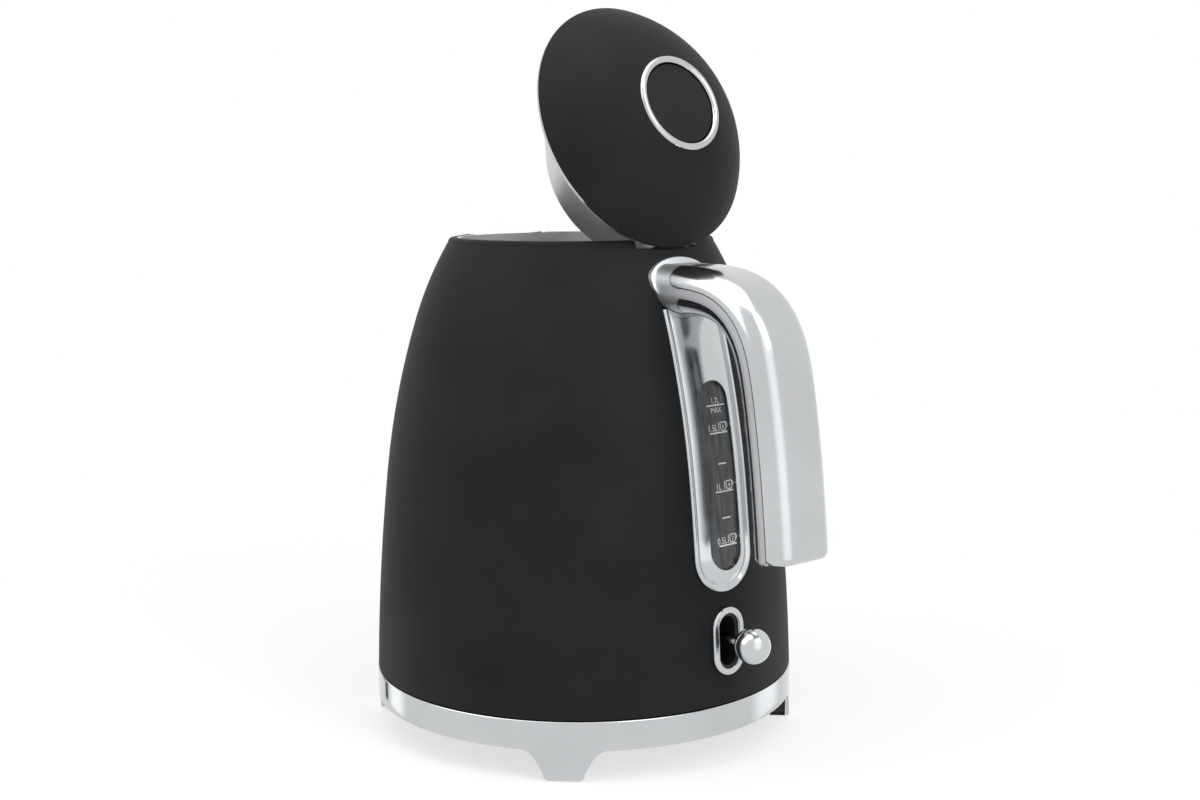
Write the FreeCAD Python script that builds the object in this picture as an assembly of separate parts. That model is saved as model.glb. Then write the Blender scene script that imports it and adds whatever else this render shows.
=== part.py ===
import FreeCAD, Part
import math
import os

# Electric kettle on a power base. Millimetres, +Z up, +X towards the handle.
# The origin is the centre of the base on the plane of its feet.

V = FreeCAD.Vector
Z_AXIS = V(0, 0, 1)
Y_AXIS = V(0, 1, 0)
X_AXIS = V(1, 0, 0)
FULL_TURN = 360.0
FAR = 300.0

# Fits
SLIP = 0.1
RUNNING = 0.05
FREE = 0.4

# Driving sizes of the body
BODY_R = 90.23
BODY_Z = 24.9
BODY_TOP = 209.2
MOUTH_R = 52.8

# Power base ring and feet
RING_R = BODY_R + 0.27
RING_WALL = 1.3
RING_TOP = BODY_Z - 0.5
RING_LOW = BODY_Z - 12.3
RING_LIP = 4.0
RING_LIP_T = 1.3
RING_ROUND = 0.5
FOOT_COUNT = 4
FOOT_FIRST_DEG = 45.0
FOOT_BOTTOM = 0.6
FOOT_FLAT_HALF = 5.5
FOOT_CORNER_HALF = 8.2
FOOT_CORNER_Z = 3.2
FOOT_SIDE_HALF = 11.0
FOOT_SIDE_Z = 8.2
FOOT_FLARE_HALF = 20.0
FOOT_FLARE_MID = (13.9, 11.4)
FOOT_CORNER_MID = (7.6, 1.3)
FOOT_BLOCK_IN = RING_R - 8.5
FOOT_BLOCK_OUT = RING_R - 1.9
FOOT_BLOCK_HALF = 5.2
PAD_T = 1.5

# Base mouldings
TRAY_WALL = 2.0
DECK_TOP = 22.4
DECK_T = 2.0
DECK_HOLE_R = 17.5
LAND_IN = 62.0
LAND_OUT = 66.0
LAND_TOP = 26.0
PLATE_T = 2.0
BASE_SCREW_RING = 50.0
BASE_SCREW_FIRST_DEG = 0.0
BASE_BOSS_R = 4.0
SCREW_HEAD_R = 3.0
SCREW_HEAD_T = 1.0
SCREW_R = 1.5
GLAND_Z = 18.0
GLAND_R = 4.0
GLAND_BORE_R = 2.9
GLAND_FLANGE_R = 5.4
GLAND_FLANGE_T = 1.5
GLAND_IN = RING_R - 3.2
GLAND_OUT = RING_R + 4.0

# Connector between base and kettle
PLUG_FLANGE_R = 19.5
PLUG_FLANGE_T = 2.0
PLUG_WALL_IN = 14.0
PLUG_WALL_OUT = 16.6
PLUG_TOP = 33.0
PLUG_STEM_R = 17.2
TOWER_R = 9.2
TOWER_BORE_R = 3.6
CONTACT_IN = 10.0
CONTACT_OUT = 13.0
CONTACT_T = 1.0
SLEEVE_R = 3.5
SLEEVE_BORE_R = 2.7
SOCKET_R = 19.3
SOCKET_LOW = 34.0
SOCKET_TOP = 39.7
SOCKET_SKIRT_IN = 17.3
SOCKET_SKIRT_LOW = 27.0
SOCKET_TUBE_IN = 9.8
SOCKET_TUBE_OUT = 13.4
SOCKET_TUBE_LOW = 25.0
PIN_R = 2.2
PIN_LOW = 25.2
PIN_HEAD_R = 3.2
PIN_HEAD_T = 1.0

# Body shell profile: three tangent arcs leaning inwards
BODY_LEAN = math.radians(1.54)
BODY_ARCS = (1013.6, 348.36)
BODY_BREAKS = (110.66, BODY_TOP - 34.33)
BODY_SHOULDER = BODY_TOP - 1.9
SHOULDER_R = MOUTH_R + 3.79
BODY_WALL = 1.2
LIP_IN = MOUTH_R
LIP_CORNER_IN = MOUTH_R + 1.7
LIP_CORNER_MID = (MOUTH_R + 3.15, BODY_TOP - 0.55)

# Collar in the mouth
COLLAR_R = MOUTH_R - 0.2
COLLAR_WALL = 1.2
COLLAR_TOP = BODY_TOP - 0.2
COLLAR_FLANGE_Z = BODY_TOP - 12.0
COLLAR_FLANGE_R = MOUTH_R + 7.2

# Lid hinge
HINGE_X = MOUTH_R - 0.6
HINGE_Z = BODY_TOP - 6.1
HINGE_PIN_R = 1.5
KNUCKLE_R = HINGE_PIN_R + 1.7
KNUCKLE_HALF = 9.2
EAR_IN = KNUCKLE_HALF + 0.4
EAR_OUT = KNUCKLE_HALF + 3.4
HINGE_PIN_HALF = EAR_OUT + 0.2
BRACKET_T = 1.2
BRACKET_IN = HINGE_X - 3.0
BRACKET_OUT = HINGE_X + 4.8
NOTCH_HALF = EAR_OUT + 4.0
NOTCH_Z = BODY_TOP - 3.3
POCKET_HALF = EAR_OUT + 1.0
RELIEF_HALF = 25.0
RELIEF_Z = BODY_TOP - 2.8
LID_OPEN_DEG = 68.6

# Lid, drawn shut
RIM_Z = BODY_TOP + 1.4
RIM_R = MOUTH_R - 1.04
RIM_T = 1.2
RIM_BORE_R = RIM_R - 4.26
RIM_ROUND = 0.45
DOME_R = RIM_R * 1.2259
DOME_WALL = 1.2
LINER_R = MOUTH_R - 3.6
LINER_LOW_R = LINER_R - 14.2
LINER_LOW_X = LINER_R - LINER_LOW_R - 2.4
LINER_LOW_Z = RIM_Z - 23.7
LINER_FLOOR_R = LINER_LOW_R - 2.5
LINER_FLOOR_Z = LINER_LOW_Z - 1.8
LINER_WALL = 1.2
SEAL_W = 1.0
SEAL_H = 1.6
SEAL_GAP_HALF = KNUCKLE_HALF + 0.5
ARM_IN = HINGE_X - 8.2
ARM_OUT = HINGE_X - 1.6
ARM_LOW = HINGE_Z - 1.1
BUTTON_RING_R = 19.85
BUTTON_HOLE_R = BUTTON_RING_R + 0.1
BUTTON_SEAT = RIM_Z + math.sqrt(DOME_R ** 2 - BUTTON_HOLE_R ** 2) - math.sqrt(DOME_R ** 2 - RIM_R ** 2)
BUTTON_RING_BORE = BUTTON_RING_R - 2.87
BUTTON_RING_LOW = BUTTON_SEAT - 2.9
BUTTON_RING_TOP = BUTTON_SEAT + 0.2
BUTTON_RING_CROWN = BUTTON_SEAT + 1.2
BUTTON_R = BUTTON_RING_BORE - 0.48
BUTTON_EDGE_Z = BUTTON_SEAT - 0.2
BUTTON_CROWN_Z = BUTTON_SEAT + 0.9
BUTTON_LOW_Z = BUTTON_SEAT - 5.1
STEM_R = 5.0
STEM_LOW_Z = LINER_FLOOR_Z + 11.8
GUIDE_BORE_R = STEM_R + 0.4
GUIDE_R = STEM_R + 3.0
GUIDE_TOP = BUTTON_LOW_Z - 10.0
GUIDE_FOOT_R = STEM_R + 9.0
GUIDE_FOOT_T = 2.0
SPRING_MEAN_R = STEM_R + 1.9
SPRING_WIRE_R = 0.6
SPRING_PITCH = 1.8
SPRING_HEIGHT = 6.0

# Vessel floor and the parts under it
FLOOR_TOP = 68.5
FLOOR_T = 1.5
DIFFUSER_R = 56.0
DIFFUSER_T = 2.5
ELEMENT_R = 42.0
ELEMENT_TUBE_R = 3.6
ELEMENT_GAP_HALF = 15.0
ELEMENT_GAP_DEG = 180.0
CONTROL_R = 24.0
CONTROL_LOW = 40.0
CONTROL_STEP_R = 30.0
CONTROL_STEP_LOW = 52.0
CONTROL_STEP_TOP = 57.0
COVER_LOW = 26.0
COVER_T = 2.0
COVER_HOLE_R = 20.0
COVER_R_GAP = 0.3
POST_RING = 70.0
POST_R = 4.5
POST_FIRST_DEG = 60.0
POST_COUNT = 3
TUBE_X = 58.0
TUBE_Y = 16.0
TUBE_R = 4.0
TUBE_BORE_R = 3.0
TUBE_LOW = 58.0
TUBE_TOP = BODY_TOP - 23.2

# Spout beak sections: height, centre, half length, half width
SPOUT_SECTIONS = ((BODY_TOP - 49.2, -MOUTH_R - 9.2, 10.0, 6.5), (BODY_TOP - 23.2, -MOUTH_R - 3.2, 20.0, 14.5),
                  (BODY_TOP + 2.8, 4.8 - MOUTH_R, 36.5, 22.0))
SPOUT_WALL = 1.4
SPOUT_LIP_GAP = 2.5
SPOUT_TIP_Z = BODY_TOP - 3.0
SPOUT_BACK_Z = BODY_TOP
SPOUT_TIP_X = -MOUTH_R - 31.2
SPOUT_BACK_X = -MOUTH_R - 1.2
FILTER_HALF = 22.5
FILTER_LOW = BODY_TOP - 49.2
FILTER_TOP = BODY_TOP - 12.4
FILTER_BORDER = 3.0
FILTER_T = 2.2
MESH_T = 0.5
MESH_SLOT = 1.6
MESH_PITCH = 3.2

# Level gauge
WINDOW_HALF = 8.3
WINDOW_LOW = 79.3
GAUGE_HALF = WINDOW_HALF + 6.9
GAUGE_LOW_C = WINDOW_LOW + 6.1
GAUGE_TOP = BODY_TOP - 26.6
GAUGE_LIP_N = 0.9
GAUGE_VALLEY_N = 0.35
GAUGE_VALLEY_HALF = GAUGE_HALF - 2.6
GAUGE_LIP_W = 1.3
GAUGE_CREST_N = 3.4
GAUGE_ROOT_N = -4.0
WINDOW_TOP = BODY_TOP - 54.8
WINDOW_PROUD = 1.2
WINDOW_FLANGE = 2.6
WINDOW_FLANGE_T = 1.6
GASKET_T = 1.4

# Switch below the gauge
SWITCH_Z = 50.5
BEZEL_HALF_W = 8.3
BEZEL_HALF_H = 13.75
BEZEL_SLOT_HALF_W = BEZEL_HALF_W - 2.95
BEZEL_SLOT_HALF_H = BEZEL_HALF_H - 2.65
BEZEL_PROUD = 2.2
HOUSING_WALL = 0.9
HOUSING_BACK_X = BODY_R - 12.23
HOUSING_BACK_T = 2.0
HOUSING_BACK_HALF_W = 8.2
HOUSING_BACK_HALF_H = 13.0
HOUSING_PROUD = 0.9
SHELL_SLOT_GAP = 0.3
LEVER_SLOT_HALF_W = 2.8
LEVER_SLOT_HALF_H = 9.4
PIVOT_X = BODY_R - 24.23
PIVOT_Z = SWITCH_Z + 0.7
PIVOT_R = 1.5
HUB_R = PIVOT_R + 2.5
HUB_HALF = 4.2
EAR_SWITCH_IN = HUB_HALF + 0.4
EAR_SWITCH_OUT = HUB_HALF + 3.8
EAR_SWITCH_R = PIVOT_R + 3.0
LEVER_R = 2.2
KNOB_X = BODY_R + 13.47
KNOB_R = 7.25
KNOB_SOCKET = 5.0

# Handle: centre line points, section and layers
HANDLE_Z = BODY_TOP - 209.2
HANDLE_LINE = ((MOUTH_R + 7.2, HANDLE_Z + 190.6), (MOUTH_R + 19.2, HANDLE_Z + 190.3),
               (BODY_R - 6.53, HANDLE_Z + 189.8), (BODY_R + 5.27, HANDLE_Z + 186.9),
               (BODY_R + 14.87, HANDLE_Z + 180.3), (BODY_R + 21.27, HANDLE_Z + 170.7),
               (BODY_R + 24.82, HANDLE_Z + 159.5), (BODY_R + 27.07, HANDLE_Z + 147.9),
               (BODY_R + 28.87, HANDLE_Z + 136.3), (BODY_R + 30.47, HANDLE_Z + 124.6),
               (BODY_R + 31.77, HANDLE_Z + 112.9), (BODY_R + 32.92, HANDLE_Z + 101.1),
               (BODY_R + 33.80, HANDLE_Z + 89.3))
HANDLE_HALF_W = 15.0
HANDLE_HALF_D = 9.5
HANDLE_ROUND = 8.0
STRIP_IN = -2.9
STRIP_OUT = 0.9
GROOVE = 0.4
END_ROUND = 3.0
STRIP_END_ROUND = 1.2
OUTER_START_X = MOUTH_R + 18.7
OUTER_ROUND = 5.0
OUTER_ROUND_Z = HANDLE_LINE[1][1] + STRIP_OUT + GROOVE + OUTER_ROUND
INNER_START_X = MOUTH_R + 22.7
INNER_ROUND = 3.0
INNER_ROUND_Z = HANDLE_LINE[1][1] + STRIP_IN - GROOVE - INNER_ROUND
ROOT_HALF_W = HANDLE_HALF_W + 1.4
ROOT_LOW = HANDLE_Z + 183.0
ROOT_TOP = HANDLE_Z + 202.4
ROOT_PROUND = 1.6
ROOT_ROUND = 9.0
ROOT_SCREW_DEG = 7.0
ROOT_SCREW_Z = HANDLE_Z + 190.0
ROOT_SCREW_LEN = 7.0
ROOT_SCREW_HEAD_R = 3.6
ROOT_SCREW_HEAD_T = 1.6


def face_of(edges):
    """Planar face inside a closed list of edges."""
    return Part.Face(Part.Wire(Part.__sortEdges__(edges)))


def line(a, b):
    """Straight edge."""
    return Part.makeLine(a, b)


def arc(a, m, b):
    """Circular edge through three points."""
    return Part.Arc(a, m, b).toShape()


def poly_edges(points):
    """Straight edges that join the points in order."""
    return [line(points[i], points[i + 1]) for i in range(len(points) - 1)]


def spin(edges):
    """Solid of revolution about the vertical axis from edges in the XZ plane."""
    return face_of(edges).revolve(V(0, 0, 0), Z_AXIS, FULL_TURN)


def turned(points):
    """Solid of revolution from (radius, height) corners."""
    corners = [V(r, 0, z) for r, z in points]
    return spin(poly_edges(corners + corners[:1]))


def tube(r_in, r_out, z_lo, z_hi):
    """Upright tube."""
    return turned([(r_in, z_lo), (r_out, z_lo), (r_out, z_hi), (r_in, z_hi)])


def rod(r, x, y, z_lo, z_hi):
    """Upright cylinder."""
    return Part.makeCylinder(r, z_hi - z_lo, V(x, y, z_lo), Z_AXIS)


def cross_rod(r, x, z, half):
    """Cylinder along Y, centred on the middle plane."""
    return Part.makeCylinder(r, 2 * half, V(x, -half, z), Y_AXIS)


def block(x0, x1, y0, y1, z0, z1):
    """Box between two corners."""
    return Part.makeBox(x1 - x0, y1 - y0, z1 - z0, V(x0, y0, z0))


def around(shape, deg):
    """Copy of a shape turned about the vertical axis."""
    copy = shape.copy()
    copy.rotate(V(0, 0, 0), Z_AXIS, deg)
    return copy


def pattern(shape, count, first_deg):
    """Equally spaced copies of a shape about the vertical axis."""
    return [around(shape, first_deg + i * FULL_TURN / count) for i in range(count)]


def stadium(half_w, z_lo, z_hi, x_lo, x_hi):
    """Upright slot-shaped prism that runs along X."""
    low = z_lo + half_w
    high = z_hi - half_w
    edges = [line(V(x_lo, half_w, low), V(x_lo, half_w, high)),
             arc(V(x_lo, half_w, high), V(x_lo, 0, z_hi), V(x_lo, -half_w, high)),
             line(V(x_lo, -half_w, high), V(x_lo, -half_w, low)),
             arc(V(x_lo, -half_w, low), V(x_lo, 0, z_lo), V(x_lo, half_w, low))]
    return face_of(edges).extrude(V(x_hi - x_lo, 0, 0))


def body_arcs():
    """Centre, radius, start angle and end angle of each arc of the body profile."""
    arcs = []
    r = BODY_R
    z = BODY_Z
    angle = BODY_LEAN
    for radius, z_end in zip(BODY_ARCS + (None,), BODY_BREAKS + (BODY_SHOULDER,)):
        if radius is None:
            in_r = r - SHOULDER_R
            up = z_end - z
            radius = (in_r ** 2 + up ** 2) / (2 * (in_r * math.cos(angle) - up * math.sin(angle)))
        rc = r - radius * math.cos(angle)
        zc = z - radius * math.sin(angle)
        end = math.asin((z_end - zc) / radius)
        arcs.append((rc, zc, radius, angle, end))
        r = rc + radius * math.cos(end)
        z = z_end
        angle = end
    return arcs


def body_point(z, off=0.0):
    """Point of the body profile, pushed outwards by off, whose own height is z, and its lean."""
    found = None
    for rc, zc, radius, start, end in body_arcs():
        if found is None or z > zc + (radius + off) * math.sin(start):
            angle = math.asin((z - zc) / (radius + off))
            found = (V(rc + (radius + off) * math.cos(angle), 0, z), angle)
    return found


def arc_angle(rise, radius):
    """Angle of a point on an arc by its rise above the centre; the end of the arc where it lies beyond it."""
    return math.asin(max(-1.0, min(1.0, rise / radius)))


def body_edges(z_lo, z_hi, off=0.0):
    """Arcs of the body profile, pushed outwards by off, between two heights."""
    edges = []
    for i, (rc, zc, radius, start, end) in enumerate(body_arcs()):
        rho = radius + off
        a = arc_angle(z_lo - zc, rho)
        b = arc_angle(z_hi - zc, rho)
        a = a if i == 0 else max(a, start)
        b = b if i == len(BODY_ARCS) else min(b, end)
        if b > a:
            spots = [V(rc + rho * math.cos(t), 0, zc + rho * math.sin(t)) for t in (a, (a + b) / 2, b)]
            edges.append(arc(*spots))
    return edges


def body_fill(z_lo, z_hi, off=0.0):
    """Solid inside the body profile."""
    low = body_point(z_lo, off)[0]
    high = body_point(z_hi, off)[0]
    rest = poly_edges([high, V(0, 0, z_hi), V(0, 0, z_lo), low])
    return spin(body_edges(z_lo, z_hi, off) + rest)


def body_band(z_lo, z_hi, off_in, off_out):
    """Layer that follows the body profile between two offsets."""
    ends = [line(body_point(z, off_in)[0], body_point(z, off_out)[0]) for z in (z_lo, z_hi)]
    return spin(body_edges(z_lo, z_hi, off_in) + body_edges(z_lo, z_hi, off_out) + ends)


def save(name, shape):
    """Write one node; a list becomes one node of several solids."""
    solid = Part.makeCompound(shape) if isinstance(shape, list) else shape.removeSplitter()
    solid.exportStep("parts/" + name + ".step")


def foot_tongue():
    """Prism of one foot outline, through the ring wall on +X."""
    x0 = RING_R - RING_LIP
    right = [V(x0, FOOT_FLAT_HALF, FOOT_BOTTOM), V(x0, FOOT_CORNER_HALF, FOOT_CORNER_Z),
             V(x0, FOOT_SIDE_HALF, FOOT_SIDE_Z), V(x0, FOOT_FLARE_HALF, RING_LOW),
             V(x0, FOOT_FLARE_HALF, RING_LOW + RING_WALL)]
    left = [V(p.x, -p.y, p.z) for p in right]
    edges = [line(left[0], right[0]), line(left[-1], right[-1])]
    for side, sign in ((right, 1), (left, -1)):
        edges.append(arc(side[0], V(x0, sign * FOOT_CORNER_MID[0], FOOT_CORNER_MID[1]), side[1]))
        edges.append(line(side[1], side[2]))
        edges.append(arc(side[2], V(x0, sign * FOOT_FLARE_MID[0], FOOT_FLARE_MID[1]), side[3]))
        edges.append(line(side[3], side[4]))
    return face_of(edges).extrude(V(2 * RING_LIP, 0, 0))


def gland_slot(r):
    """Hole for the cord gland, open towards the bottom edge."""
    hole = Part.makeCylinder(r, FAR, V(0, 0, GLAND_Z), V(-1, 0, 0))
    return hole.fuse(block(-FAR, 0, -r, r, 0, GLAND_Z))


def base_ring():
    """Plated steel ring with four feet and a rolled top lip."""
    inner = RING_R - RING_WALL
    wall = tube(inner, RING_R, RING_LOW, RING_TOP)
    skirt = tube(inner, RING_R, FOOT_BOTTOM, RING_LOW + RING_WALL)
    for tongue in pattern(foot_tongue(), FOOT_COUNT, FOOT_FIRST_DEG):
        wall = wall.fuse(skirt.common(tongue))
    lip = tube(RING_R - RING_LIP, inner + RING_ROUND, RING_TOP - RING_LIP_T, RING_TOP)
    ring = wall.fuse(lip).removeSplitter()
    top = [e for e in ring.Edges if abs(e.BoundBox.ZMin - RING_TOP) < SLIP and e.BoundBox.ZLength < SLIP]
    ring = ring.makeFillet(RING_ROUND, [e for e in top if e.BoundBox.XLength > 2 * RING_R - SLIP])
    return ring.cut(gland_slot(GLAND_R + SLIP).common(tube(inner - 1, RING_R + 1, 0, RING_TOP)))


def base_tray():
    """Moulded deck with its wall, landing ring and screw bosses."""
    outer = RING_R - RING_WALL - SLIP
    inner = outer - TRAY_WALL
    tray = tube(inner, outer, RING_LOW, RING_TOP - RING_LIP_T)
    tray = tray.fuse(tube(DECK_HOLE_R, inner, DECK_TOP - DECK_T, DECK_TOP))
    tray = tray.fuse(tube(LAND_IN, LAND_OUT, DECK_TOP, LAND_TOP))
    boss = rod(BASE_BOSS_R, BASE_SCREW_RING, 0, RING_LOW + PLATE_T, DECK_TOP - DECK_T)
    hole = rod(SCREW_R + RUNNING, BASE_SCREW_RING, 0, RING_LOW, DECK_TOP - DECK_T)
    for shape in pattern(boss.cut(hole), FOOT_COUNT, BASE_SCREW_FIRST_DEG):
        tray = tray.fuse(shape)
    return tray.cut(gland_slot(GLAND_R + SLIP).common(tube(inner - 1, outer + 1, 0, RING_TOP)))


def foot_blocks():
    """Moulded blocks that back the feet, seated under the tray."""
    foot = block(FOOT_BLOCK_IN, FOOT_BLOCK_OUT, -FOOT_BLOCK_HALF, FOOT_BLOCK_HALF, PAD_T, RING_LOW)
    return pattern(foot, FOOT_COUNT, FOOT_FIRST_DEG)


def foot_pads():
    """Rubber pads under the feet."""
    pad = block(FOOT_BLOCK_IN, FOOT_BLOCK_OUT, -FOOT_BLOCK_HALF, FOOT_BLOCK_HALF, 0, PAD_T)
    return pattern(pad, FOOT_COUNT, FOOT_FIRST_DEG)


def base_bottom_plate():
    """Closing plate under the base."""
    plate = rod(RING_R - RING_WALL - TRAY_WALL - 2 * SLIP, 0, 0, RING_LOW, RING_LOW + PLATE_T)
    hole = rod(SCREW_R + FREE, BASE_SCREW_RING, 0, 0, RING_TOP)
    sink = rod(SCREW_HEAD_R + SLIP, BASE_SCREW_RING, 0, 0, RING_LOW + SCREW_HEAD_T)
    for shape in pattern(hole.fuse(sink), FOOT_COUNT, BASE_SCREW_FIRST_DEG):
        plate = plate.cut(shape)
    return plate


def screw(z_head, z_tip, ring_r):
    """Upright screw with its head down."""
    head = rod(SCREW_HEAD_R, ring_r, 0, z_head, z_head + SCREW_HEAD_T)
    cross = block(ring_r - SCREW_HEAD_R / 2, ring_r + SCREW_HEAD_R / 2, -FREE, FREE, 0, z_head + FREE)
    return head.fuse(rod(SCREW_R, ring_r, 0, z_head, z_tip)).cut(cross)


def base_screws():
    """Screws of the closing plate."""
    tip = DECK_TOP - DECK_T - FREE
    return pattern(screw(RING_LOW, tip, BASE_SCREW_RING), FOOT_COUNT, BASE_SCREW_FIRST_DEG)


def cord_gland():
    """Rubber gland at the back of the base."""
    gland = Part.makeCylinder(GLAND_R, GLAND_OUT - GLAND_IN, V(-GLAND_IN, 0, GLAND_Z), V(-1, 0, 0))
    flange = Part.makeCylinder(GLAND_FLANGE_R, GLAND_FLANGE_T, V(-RING_R - SLIP, 0, GLAND_Z), V(-1, 0, 0))
    bore = Part.makeCylinder(GLAND_BORE_R, FAR, V(0, 0, GLAND_Z), V(-1, 0, 0))
    return gland.fuse(flange).cut(bore)


def connector_plug():
    """Round power plug that stands on the deck."""
    stem_low = RING_LOW + PLATE_T
    flange = rod(PLUG_FLANGE_R, 0, 0, DECK_TOP, DECK_TOP + PLUG_FLANGE_T)
    stem = rod(PLUG_STEM_R, 0, 0, stem_low, DECK_TOP)
    wall = tube(PLUG_WALL_IN, PLUG_WALL_OUT, DECK_TOP, PLUG_TOP)
    tower = rod(TOWER_R, 0, 0, DECK_TOP, PLUG_TOP)
    floor = tube(TOWER_R, PLUG_WALL_IN, DECK_TOP + FREE, DECK_TOP + PLUG_FLANGE_T)
    plug = flange.cut(floor).fuse(stem).fuse(wall).fuse(tower)
    return plug.cut(rod(TOWER_BORE_R, 0, 0, DECK_TOP + FREE, FAR))


def contact_ring():
    """Live contact ring in the plug."""
    low = DECK_TOP + FREE
    return tube(CONTACT_IN, CONTACT_OUT, low, low + CONTACT_T)


def contact_sleeve():
    """Contact sleeve in the plug tower."""
    return tube(SLEEVE_BORE_R, SLEEVE_R, DECK_TOP + FREE, PLUG_TOP - FREE)


def connector_socket():
    """Round socket under the kettle."""
    socket = rod(SOCKET_R, 0, 0, SOCKET_LOW, SOCKET_TOP)
    socket = socket.fuse(tube(SOCKET_SKIRT_IN, SOCKET_R, SOCKET_SKIRT_LOW, SOCKET_LOW))
    socket = socket.fuse(tube(SOCKET_TUBE_IN, SOCKET_TUBE_OUT, SOCKET_TUBE_LOW, SOCKET_LOW))
    socket = socket.cut(rod(PIN_R + RUNNING, 0, 0, SOCKET_LOW, SOCKET_TOP))
    return socket.cut(rod(PIN_HEAD_R + SLIP, 0, 0, SOCKET_TOP - PIN_HEAD_T, SOCKET_TOP))


def connector_pin():
    """Centre contact pin of the socket."""
    head = rod(PIN_HEAD_R, 0, 0, SOCKET_TOP - PIN_HEAD_T, SOCKET_TOP)
    return rod(PIN_R, 0, 0, PIN_LOW, SOCKET_TOP).fuse(head)


def spout_loft(inset):
    """Beak-shaped solid through the spout sections, drawn in by inset."""
    wires = []
    for z, x, half_l, half_w in SPOUT_SECTIONS:
        curve = Part.Ellipse(V(x, 0, z), half_l - inset, half_w - inset)
        wires.append(Part.Wire(curve.toShape()))
    return Part.makeLoft(wires, True)


def spout_top():
    """Space above the sloping top edge of the spout."""
    corners = [V(SPOUT_TIP_X - FAR, -FAR, SPOUT_TIP_Z), V(SPOUT_TIP_X, -FAR, SPOUT_TIP_Z),
               V(SPOUT_BACK_X, -FAR, SPOUT_BACK_Z), V(0, -FAR, SPOUT_BACK_Z),
               V(0, -FAR, BODY_TOP + FAR), V(SPOUT_TIP_X - FAR, -FAR, BODY_TOP + FAR)]
    return face_of(poly_edges(corners + corners[:1])).extrude(V(0, 2 * FAR, 0))


def shell_blank():
    """Whole body shell before its openings."""
    outer = body_edges(BODY_Z, BODY_SHOULDER)
    rc, zc, radius, start, end = body_arcs()[-1]
    in_top = zc + (radius - BODY_WALL) * math.sin(end)
    inner = body_edges(BODY_Z, in_top, -BODY_WALL)
    shoulder = body_point(BODY_SHOULDER)[0]
    corner = V(LIP_CORNER_IN, 0, BODY_TOP)
    under = BODY_TOP - BODY_WALL
    rest = poly_edges([corner, V(LIP_IN, 0, BODY_TOP), V(LIP_IN, 0, under), V(LIP_CORNER_IN - SLIP, 0, under),
                       body_point(in_top, -BODY_WALL)[0]])
    rest.append(arc(shoulder, V(LIP_CORNER_MID[0], 0, LIP_CORNER_MID[1]), corner))
    rest.append(line(body_point(BODY_Z)[0], body_point(BODY_Z, -BODY_WALL)[0]))
    return spin(outer + inner + rest)


def body_shell():
    """Coated steel body with its openings."""
    shell = shell_blank()
    shell = shell.cut(spout_loft(SPOUT_WALL))
    shell = shell.cut(stadium(WINDOW_HALF + SHELL_SLOT_GAP, WINDOW_LOW - SHELL_SLOT_GAP,
                              WINDOW_TOP + SHELL_SLOT_GAP, 0, FAR))
    shell = shell.cut(slot_prism(BEZEL_SLOT_HALF_W + SHELL_SLOT_GAP, BEZEL_SLOT_HALF_H + SHELL_SLOT_GAP))
    shell = shell.cut(block(0, FAR, -NOTCH_HALF, NOTCH_HALF, NOTCH_Z, FAR))
    for side in (-1, 1):
        shell = shell.cut(root_axis_rod(SCREW_R + SHELL_SLOT_GAP, side, -FREE * 20, FREE * 20))
    return shell


def collar():
    """Steel collar that lines the mouth."""
    inner = COLLAR_R - COLLAR_WALL
    ring = tube(inner, COLLAR_R, COLLAR_FLANGE_Z, COLLAR_TOP)
    ring = ring.fuse(tube(inner, COLLAR_FLANGE_R, COLLAR_FLANGE_Z, COLLAR_FLANGE_Z + COLLAR_WALL))
    above = COLLAR_FLANGE_Z + COLLAR_WALL
    ring = ring.cut(block(0, FAR, -POCKET_HALF, POCKET_HALF, above, FAR))
    return ring.cut(block(0, FAR, -RELIEF_HALF, RELIEF_HALF, RELIEF_Z, FAR))


def hinge_bracket():
    """Bracket with two ears for the lid pin."""
    low = COLLAR_FLANGE_Z + COLLAR_WALL
    plate = block(BRACKET_IN, BRACKET_OUT, -EAR_OUT, EAR_OUT, low, low + BRACKET_T)
    ear = cross_rod(KNUCKLE_R, HINGE_X, HINGE_Z, EAR_OUT)
    ear = ear.fuse(block(HINGE_X - KNUCKLE_R, HINGE_X + KNUCKLE_R, -EAR_OUT, EAR_OUT, low, HINGE_Z))
    ear = ear.cut(block(0, FAR, -EAR_IN, EAR_IN, 0, FAR))
    return plate.fuse(ear).cut(cross_rod(HINGE_PIN_R + RUNNING, HINGE_X, HINGE_Z, FAR))


def hinge_pin():
    """Lid pin."""
    return cross_rod(HINGE_PIN_R, HINGE_X, HINGE_Z, HINGE_PIN_HALF)


def spout():
    """Pouring beak on the front of the body."""
    beak = spout_loft(0).cut(spout_loft(SPOUT_WALL))
    beak = beak.cut(body_fill(BODY_BREAKS[0], BODY_SHOULDER, SLIP))
    beak = beak.cut(rod(LIP_CORNER_IN + SPOUT_LIP_GAP, 0, 0, BODY_SHOULDER - 1, FAR))
    return beak.cut(spout_top())


def filter_frame():
    """Frame of the scale filter behind the spout."""
    off = -BODY_WALL - SLIP
    band = body_band(FILTER_LOW, FILTER_TOP, off - FILTER_T, off)
    frame = band.common(block(-FAR, 0, -FILTER_HALF, FILTER_HALF, 0, FAR))
    hole = FILTER_HALF - FILTER_BORDER
    return frame.cut(block(-FAR, 0, -hole, hole, FILTER_LOW + FILTER_BORDER, FILTER_TOP - FILTER_BORDER))


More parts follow.
